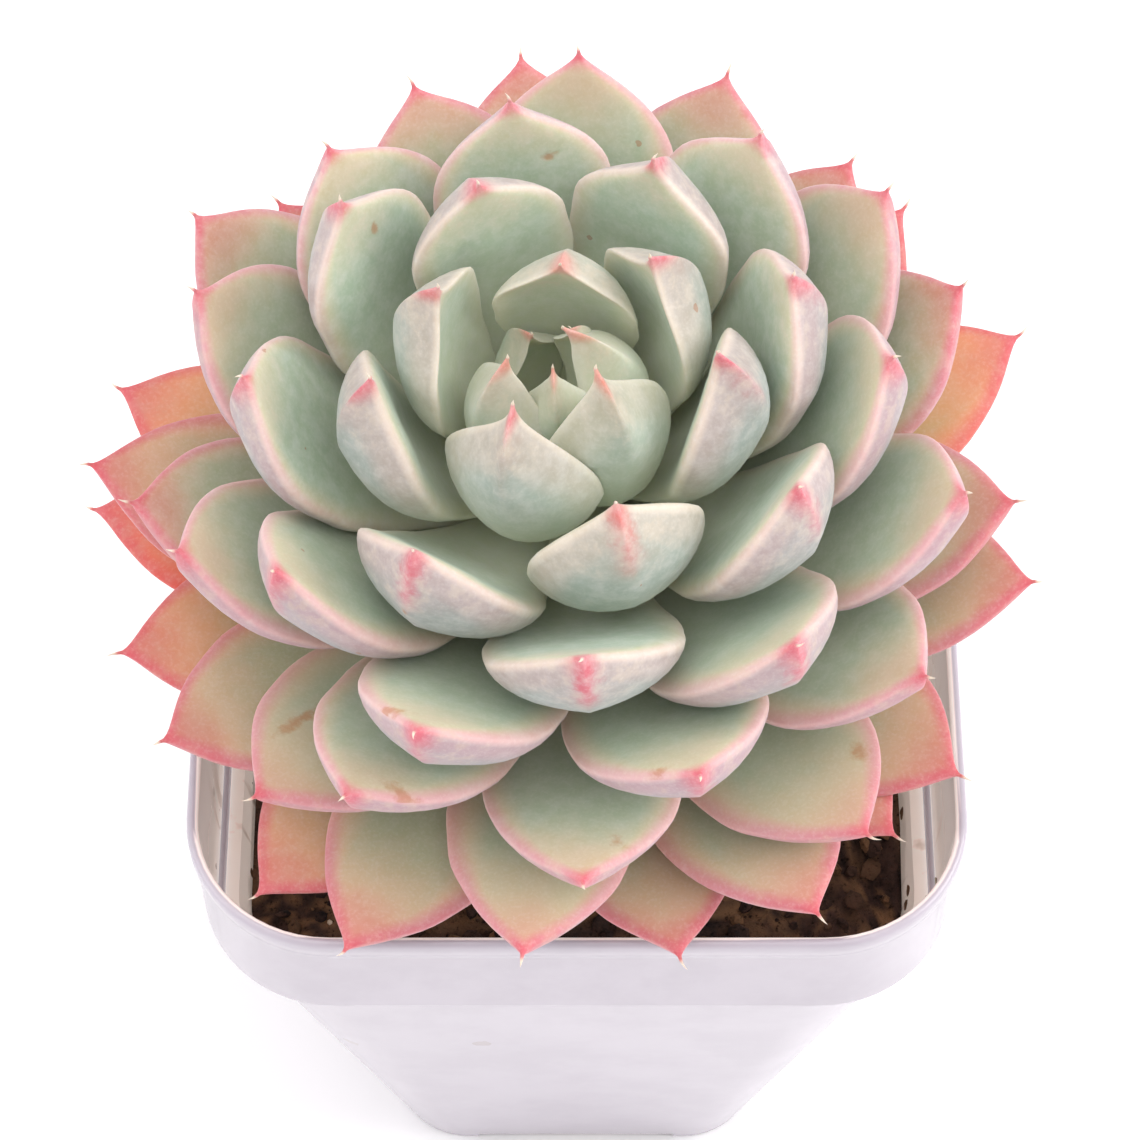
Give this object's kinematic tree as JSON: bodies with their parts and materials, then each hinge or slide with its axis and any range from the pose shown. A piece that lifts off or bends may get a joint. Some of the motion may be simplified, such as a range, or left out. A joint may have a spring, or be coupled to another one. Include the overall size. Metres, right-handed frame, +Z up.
{
  "type": "potted succulent",
  "caption": "Rosette succulent with thick pointed grey-green leaves, flushed coral at the margins, growing in a square white plastic pot.",
  "frame": {"origin": "on the surface it stands on, under the middle of the whole plant's and pot's box", "axes": "+Z up; +Y to the back; +X to the right, with the pot's sides along X and Y"},
  "size_m": [0.1026, 0.0938, 0.161],
  "materials": {
    "pot_plastic": "gloss",
    "potting_soil": "matte",
    "stem_bark": "matte",
    "young_leaf": "matte",
    "grown_leaf": "matte",
    "old_leaf": "matte"
  },
  "bodies": {
    "root": {"leaf_03": "young_leaf", "leaf_04": "young_leaf", "leaf_05": "young_leaf", "leaf_06": "young_leaf", "leaf_07": "young_leaf", "leaf_08": "young_leaf", "leaf_09": "young_leaf", "leaf_10": "young_leaf", "leaf_11": "young_leaf", "leaf_12": "young_leaf", "leaf_13": "young_leaf", "leaf_14": "young_leaf", "leaf_15": "young_leaf", "leaf_16": "young_leaf", "leaf_17": "young_leaf", "leaf_18": "young_leaf", "leaf_19": "young_leaf", "leaf_20": "young_leaf", "leaf_21": "young_leaf", "leaf_22": "young_leaf", "leaf_23": "young_leaf", "leaf_24": "grown_leaf", "leaf_25": "grown_leaf", "leaf_26": "grown_leaf", "leaf_27": "grown_leaf", "leaf_28": "grown_leaf", "leaf_29": "grown_leaf", "leaf_30": "grown_leaf", "leaf_31": "grown_leaf", "leaf_32": "grown_leaf", "leaf_33": "grown_leaf", "leaf_34": "grown_leaf", "leaf_35": "grown_leaf", "leaf_36": "grown_leaf", "leaf_37": "grown_leaf", "leaf_38": "grown_leaf", "leaf_39": "grown_leaf", "leaf_40": "grown_leaf", "leaf_41": "grown_leaf", "leaf_42": "grown_leaf", "leaf_43": "grown_leaf", "leaf_45": "old_leaf", "leaf_46": "old_leaf", "leaf_48": "old_leaf", "leaf_49": "old_leaf", "leaf_50": "old_leaf", "leaf_51": "old_leaf", "leaf_53": "old_leaf", "leaf_54": "old_leaf", "leaf_56": "old_leaf", "leaf_57": "old_leaf", "leaf_59": "old_leaf", "leaf_61": "old_leaf", "leaf_62": "old_leaf", "leaf_64": "old_leaf", "leaf_67": "old_leaf", "leaf_70": "old_leaf", "pot": "pot_plastic", "soil": "potting_soil", "stem": "stem_bark"}
  },
  "joints": []
}
